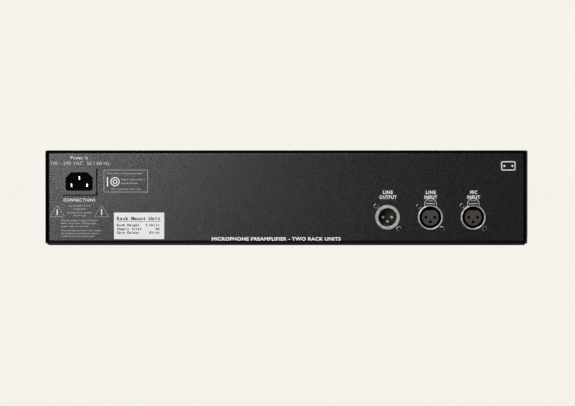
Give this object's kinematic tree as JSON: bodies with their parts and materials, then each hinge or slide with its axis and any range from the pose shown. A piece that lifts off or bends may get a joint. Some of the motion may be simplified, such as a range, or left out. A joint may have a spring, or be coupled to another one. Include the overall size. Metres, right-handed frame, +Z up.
{
  "type": "microphone preamp",
  "caption": "Rack-mounted valve microphone preamp in a black steel case, with knobs, toggle levers, a level meter, three-pin audio sockets and a mains inlet.",
  "frame": {"origin": "centre of the four rack slots, on the back face of the front panel", "axes": "+X right as seen from the front, +Y from the front panel to the rear, +Z up"},
  "size_m": [0.4826, 0.3067, 0.0882],
  "materials": {
    "panel_black": "fine satin powder coat",
    "anodised_front": "satin black enamel",
    "zinc_screw": "black oxide",
    "bright_screw": "zinc plated",
    "nickel": "satin nickel",
    "gold_contact": "plated",
    "black_moulding": "fine moulded",
    "socket_insert": "dark brown-grey nylon",
    "knob_plastic": "semi-gloss",
    "label_white": "satin vinyl",
    "foam": "cellular foam",
    "laminate": "green solder mask",
    "glass": "clear",
    "lamp_red": "tinted lens",
    "dial_cream": "printed card",
    "needle_black": "matt",
    "aluminium_can": "drawn",
    "core_steel": "varnished laminations",
    "capacitor_film": "dipped resin",
    "valve_glass": "clear envelope",
    "valve_base": "glazed ceramic",
    "wire_red": "lead insulation",
    "ribbon_grey": "flat cable",
    "connector_white": "nylon"
  },
  "bodies": {
    "chassis": {"audio_leads": "wire_red", "board_connectors": "connector_white", "board_screws": "bright_screw", "board_standoffs": "bright_screw", "bottom_tray": "panel_black", "capacitors": "capacitor_film", "case_screws": "zinc_screw", "control_board": "laminate", "cover_gasket": "foam", "female_contacts": "gold_contact", "female_inserts": "socket_insert", "front_panel": "anodised_front", "identity_label": "label_white", "input_transformer": "aluminium_can", "instrument_jack": "black_moulding", "line_input_shell": "nickel", "line_output_insert": "socket_insert", "line_output_pins": "gold_contact", "line_output_shell": "nickel", "main_board": "laminate", "mains_leads": "wire_red", "meter_bezel": "black_moulding", "meter_case": "black_moulding", "meter_dial": "dial_cream", "meter_movement": "core_steel", "meter_window": "glass", "mic_input_shell": "nickel", "output_transformer": "core_steel", "panel_nuts": "nickel", "pilot_lamp_bezel": "nickel", "pilot_lamp_lens": "lamp_red", "power_inlet_blades": "bright_screw", "power_inlet_body": "black_moulding", "power_supply_board": "laminate", "rear_panel": "panel_black", "ribbon_cable": "ribbon_grey", "rotary_controls": "black_moulding", "socket_screws": "zinc_screw", "supply_transformer": "core_steel", "toggle_bodies": "black_moulding", "top_cover": "panel_black", "valve_sockets": "valve_base", "valves": "valve_glass"},
    "input_select_control": {"input_select_knob": "knob_plastic", "input_select_shaft": "nickel"},
    "gain_control": {"gain_knob": "knob_plastic", "gain_shaft": "nickel"},
    "low_tone_control": {"low_tone_knob": "knob_plastic", "low_tone_shaft": "nickel"},
    "high_tone_control": {"high_tone_knob": "knob_plastic", "high_tone_shaft": "nickel"},
    "level_control": {"level_knob": "knob_plastic", "level_shaft": "nickel"},
    "phantom_switch": {"phantom_lever": "nickel"},
    "polarity_switch": {"polarity_lever": "nickel"},
    "pad_switch": {"pad_lever": "nickel"},
    "power_switch": {"power_lever": "nickel"},
    "line_input_tab": {"line_input_latch": "black_moulding"},
    "mic_input_tab": {"mic_input_latch": "black_moulding"},
    "needle": {"meter_needle": "needle_black"}
  },
  "joints": [
    {"name": "input_select_turn", "type": "hinge", "parent": "chassis", "child": "input_select_control", "pos_m": [-0.152, -0.004, -0.003], "axis": [0, 1, 0], "range_deg": [-60, 60]},
    {"name": "gain_turn", "type": "hinge", "parent": "chassis", "child": "gain_control", "pos_m": [-0.103, -0.004, -0.003], "axis": [0, 1, 0], "range_deg": [-150, 150]},
    {"name": "low_tone_turn", "type": "hinge", "parent": "chassis", "child": "low_tone_control", "pos_m": [0.004, -0.004, -0.003], "axis": [0, 1, 0], "range_deg": [-150, 150]},
    {"name": "high_tone_turn", "type": "hinge", "parent": "chassis", "child": "high_tone_control", "pos_m": [0.045, -0.004, -0.003], "axis": [0, 1, 0], "range_deg": [-150, 150]},
    {"name": "level_turn", "type": "hinge", "parent": "chassis", "child": "level_control", "pos_m": [0.093, -0.004, -0.003], "axis": [0, 1, 0], "range_deg": [-150, 150]},
    {"name": "phantom_flip", "type": "hinge", "parent": "chassis", "child": "phantom_switch", "pos_m": [-0.067, -0.0036, -0.008], "axis": [-1, 0, 0], "range_deg": [0, 24]},
    {"name": "polarity_flip", "type": "hinge", "parent": "chassis", "child": "polarity_switch", "pos_m": [-0.0485, -0.0036, -0.008], "axis": [-1, 0, 0], "range_deg": [0, 24]},
    {"name": "pad_flip", "type": "hinge", "parent": "chassis", "child": "pad_switch", "pos_m": [-0.03, -0.0036, -0.008], "axis": [-1, 0, 0], "range_deg": [0, 24]},
    {"name": "power_flip", "type": "hinge", "parent": "chassis", "child": "power_switch", "pos_m": [0.199, -0.0036, -0.016], "axis": [-1, 0, 0], "range_deg": [0, 24]},
    {"name": "line_input_tab_push", "type": "slide", "parent": "chassis", "child": "line_input_tab", "axis": [0, -1, 0], "range_m": [0, 0.0015], "stiffness_N_per_m": 900, "springref_m": -0.001},
    {"name": "mic_input_tab_push", "type": "slide", "parent": "chassis", "child": "mic_input_tab", "axis": [0, -1, 0], "range_m": [0, 0.0015], "stiffness_N_per_m": 900, "springref_m": -0.001},
    {"name": "needle_swing", "type": "hinge", "parent": "chassis", "child": "needle", "pos_m": [0.148, 0.002, -0.015], "axis": [0, 1, 0], "range_deg": [0, 90], "stiffness_Nm_per_rad": 0.0004}
  ]
}
